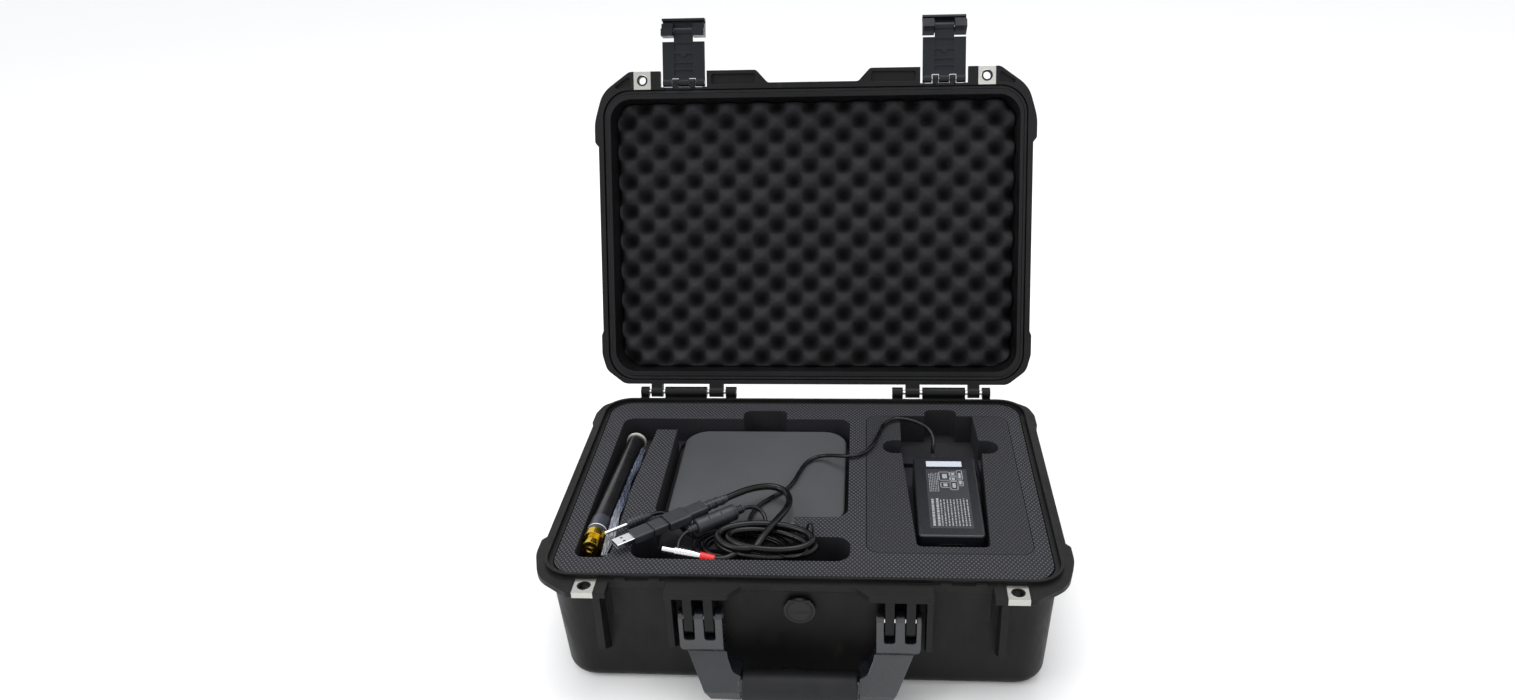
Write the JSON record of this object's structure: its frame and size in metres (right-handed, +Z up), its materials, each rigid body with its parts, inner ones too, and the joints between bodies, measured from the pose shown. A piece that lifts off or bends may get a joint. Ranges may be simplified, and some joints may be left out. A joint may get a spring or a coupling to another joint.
{
  "type": "carrying case of a handheld scanner kit",
  "caption": "Open hard carrying case with hinged lid, draw latches, folding handle and cut foam that holds an adapter, a flat unit, a pole and coiled leads.",
  "frame": {"origin": "middle of the base's underside, on the surface that the case stands on", "axes": "+Z up, -Y towards the handle and latches, +Y towards the lid hinge, +X to the right"},
  "size_m": [0.491, 0.5354, 0.5236],
  "materials": {
    "case_plastic": "fine moulded texture",
    "lid_plastic": "fine moulded texture",
    "handle_plastic": "semi gloss",
    "grip_rubber": "soft matt",
    "stainless": "brushed",
    "pin_steel": "bright",
    "latch_plastic": "fine moulded texture",
    "valve_plastic": "matt",
    "valve_gasket": "matt",
    "seal_rubber": "matt",
    "base_foam": "embossed matt foam",
    "pad_foam": "matt foam",
    "insert_foam": "embossed matt foam",
    "lid_foam": "open cell foam",
    "adapter_plastic": "satin",
    "adapter_label": "printed film",
    "sticker": "printed paper",
    "board": "resin board",
    "unit_plastic": "soft touch",
    "unit_inner": "plain",
    "pole_tube": "black anodised",
    "pole_trim": "turned",
    "pole_line": "white paint",
    "brass": "turned",
    "film": "clear film",
    "lead_plastic": "satin",
    "plug_plastic": "satin",
    "plug_metal": "plated",
    "red_boot": "satin",
    "ferrite": "sintered"
  },
  "bodies": {
    "base": {"base_shell": "case_plastic", "base_padlock_lugs": "case_plastic", "valve_body": "valve_plastic", "valve_seal": "valve_gasket", "valve_membrane": "valve_gasket", "base_padlock_plates": "stainless", "hinge_pins": "pin_steel", "handle_pins": "pin_steel", "foam_tray": "base_foam", "foam_pad": "pad_foam", "foam_insert": "insert_foam", "adapter_upper_cover": "adapter_plastic", "adapter_lower_cover": "adapter_plastic", "adapter_board": "board", "adapter_label": "adapter_label", "adapter_sticker": "sticker", "adapter_inlet": "adapter_plastic", "adapter_relief": "lead_plastic", "unit_upper_shell": "unit_plastic", "unit_lower_shell": "unit_plastic", "unit_panel": "unit_inner", "pole_tube": "pole_tube", "pole_end_ring": "pole_trim", "pole_collar": "pole_tube", "pole_collar_line": "pole_line", "pole_brass_adaptor": "brass", "pole_adaptor_pin": "pin_steel", "film_bag": "film", "dc_lead": "lead_plastic", "dc_lead_links": "lead_plastic", "dc_coil": "lead_plastic", "ferrite_cover": "plug_plastic", "ferrite_core": "ferrite", "ferrite_reliefs": "lead_plastic", "barrel_boot": "plug_plastic", "barrel_pin": "plug_metal", "usb_lead": "lead_plastic", "usb_lead_tail": "lead_plastic", "usb_coil": "lead_plastic", "usb_shell": "plug_metal", "usb_tongue": "plug_plastic", "usb_body": "plug_plastic", "usb_coupler": "plug_plastic", "usb_relief": "plug_plastic", "round_connector_nose": "plug_metal", "round_connector_shell": "plug_metal", "round_connector_boot": "red_boot"},
    "lid": {"lid_shell": "lid_plastic", "lid_seal": "seal_rubber", "lid_foam": "lid_foam", "lid_padlock_plates": "stainless", "latch_hinge_pins": "pin_steel"},
    "latch_left": {"latch_link_left": "latch_plastic"},
    "latch_right": {"latch_link_right": "latch_plastic"},
    "jaw_left": {"latch_jaw_left": "latch_plastic", "latch_jaw_pin_left": "pin_steel"},
    "jaw_right": {"latch_jaw_right": "latch_plastic", "latch_jaw_pin_right": "pin_steel"},
    "handle": {"handle_frame": "handle_plastic", "handle_grip": "grip_rubber"}
  },
  "joints": [
    {"name": "lid_hinge", "type": "hinge", "parent": "base", "child": "lid", "pos_m": [0, 0.1775, 0.1315], "axis": [1, 0, 0], "range_deg": [0, 110.4]},
    {"name": "handle_hinge", "type": "hinge", "parent": "base", "child": "handle", "pos_m": [0, -0.1705, 0.093], "axis": [-1, 0, 0], "range_deg": [0, 95]},
    {"name": "latch_left_hinge", "type": "hinge", "parent": "lid", "child": "latch_left", "pos_m": [-0.144, 0.30085, 0.45745], "axis": [1, 0, 0], "range_deg": [0, 90]},
    {"name": "jaw_left_hinge", "type": "hinge", "parent": "latch_left", "child": "jaw_left", "pos_m": [-0.144, 0.32037, 0.50993], "axis": [1, 0, 0], "range_deg": [-30, 0]},
    {"name": "latch_right_hinge", "type": "hinge", "parent": "lid", "child": "latch_right", "pos_m": [0.144, 0.30085, 0.45745], "axis": [1, 0, 0], "range_deg": [0, 90]},
    {"name": "jaw_right_hinge", "type": "hinge", "parent": "latch_right", "child": "jaw_right", "pos_m": [0.144, 0.32037, 0.50993], "axis": [1, 0, 0], "range_deg": [-6, 24]}
  ]
}
